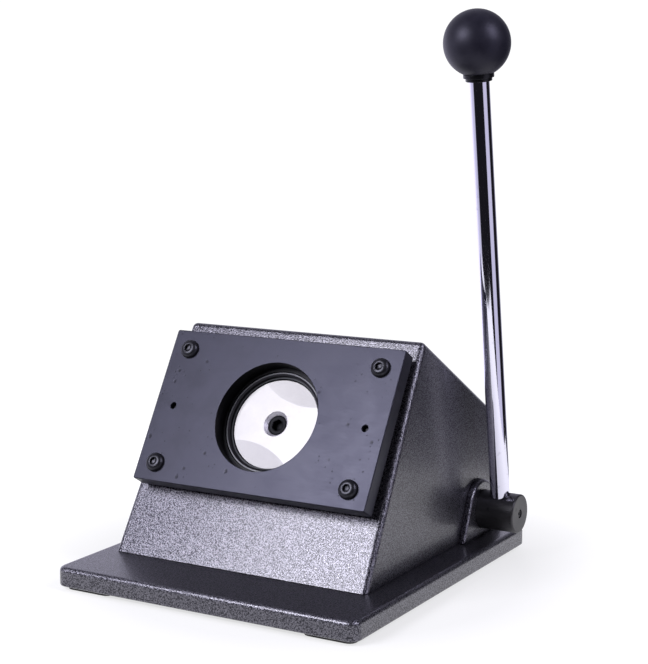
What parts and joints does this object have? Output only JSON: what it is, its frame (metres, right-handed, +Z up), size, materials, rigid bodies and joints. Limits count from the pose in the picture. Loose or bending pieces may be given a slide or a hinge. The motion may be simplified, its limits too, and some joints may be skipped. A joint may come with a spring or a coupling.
{
  "type": "button badge disc cutter",
  "caption": "Lever-operated stand cutter for badge making: a sloping housing on a heavy base, with a round punch that a cam and side lever drive out through a black die plate.",
  "frame": {"origin": "under the middle of the whole object's box, on the surface that the four feet stand on", "axes": "+X along the drive shaft towards the lever, -Y to the front where the die plate faces, +Z up"},
  "size_m": [0.272, 0.2774, 0.418],
  "materials": {
    "hammertone": "grey hammertone enamel, fine dark and bright speckle",
    "blackened_steel": "satin black oxide with light scuffs",
    "ground_steel": "finely ground bare steel",
    "chrome": "polished plating",
    "bronze": "plain bearing bronze",
    "knob_plastic": "satin black moulded plastic",
    "rubber": "matt black",
    "spring_steel": "oiled grey wire and clips"
  },
  "bodies": {
    "frame": {"base_plate": "hammertone", "foot_front_left": "rubber", "foot_front_right": "rubber", "foot_rear_left": "rubber", "foot_rear_right": "rubber", "base_bolt_front_left": "blackened_steel", "base_bolt_front_right": "blackened_steel", "base_bolt_rear_left": "blackened_steel", "base_bolt_rear_right": "blackened_steel", "front_plate": "hammertone", "top_plate": "hammertone", "rear_plate": "hammertone", "side_plate_left": "hammertone", "side_plate_right": "hammertone", "foot_bar_left": "ground_steel", "foot_bar_right": "ground_steel", "bearing_cheek_left": "hammertone", "bearing_cheek_right": "hammertone", "shaft_bush_left": "bronze", "shaft_bush_right": "bronze", "die_plate": "blackened_steel", "cutting_ring": "ground_steel", "guide_plate": "blackened_steel", "slot_spacer_lower_left": "ground_steel", "slot_spacer_lower_right": "ground_steel", "slot_spacer_upper_left": "ground_steel", "slot_spacer_upper_right": "ground_steel", "die_screw_lower_left": "blackened_steel", "die_screw_lower_right": "blackened_steel", "die_screw_upper_left": "blackened_steel", "die_screw_upper_right": "blackened_steel", "dowel_pin_left": "ground_steel", "dowel_pin_right": "ground_steel", "ram_guide": "blackened_steel", "guide_screw_lower_left": "blackened_steel", "guide_screw_lower_right": "blackened_steel", "guide_screw_upper_left": "blackened_steel", "guide_screw_upper_right": "blackened_steel", "return_spring": "spring_steel"},
    "lever": {"drive_shaft": "blackened_steel", "shaft_clip_left": "spring_steel", "shaft_collar": "blackened_steel", "collar_grub_screw": "blackened_steel", "cam": "ground_steel", "cam_key": "ground_steel", "lever_rod": "chrome", "knob_collar": "blackened_steel", "ball_knob": "knob_plastic", "lever_clamp_screw": "blackened_steel"},
    "ram": {"punch": "ground_steel", "punch_screw": "blackened_steel", "ram": "ground_steel", "roller_pin": "ground_steel", "pin_clip": "spring_steel", "spring_thrust_ring": "ground_steel"},
    "roller": {"cam_roller": "ground_steel"}
  },
  "joints": [
    {"name": "lever_swing", "type": "hinge", "parent": "frame", "child": "lever", "pos_m": [-0.0152, 0.0974, 0.0379], "axis": [1, 0, 0], "range_deg": [0, 70], "stiffness_Nm_per_rad": 0.8, "springref_deg": -34.38},
    {"name": "punch_slide", "type": "slide", "parent": "frame", "child": "ram", "axis": [0, -0.8606, 0.5093], "range_m": [0, 0.008], "deforming": ["return_spring"]},
    {"name": "roller_spin", "type": "hinge", "parent": "ram", "child": "roller", "pos_m": [-0.0152, 0.07089, 0.05359], "axis": [1, 0, 0], "range_deg": [-150, 0]}
  ],
  "couplings": [
    {"joint": "punch_slide", "follows": "lever_swing", "m_per_rad": 0.006548},
    {"joint": "roller_spin", "follows": "lever_swing", "ratio": -2.136}
  ]
}
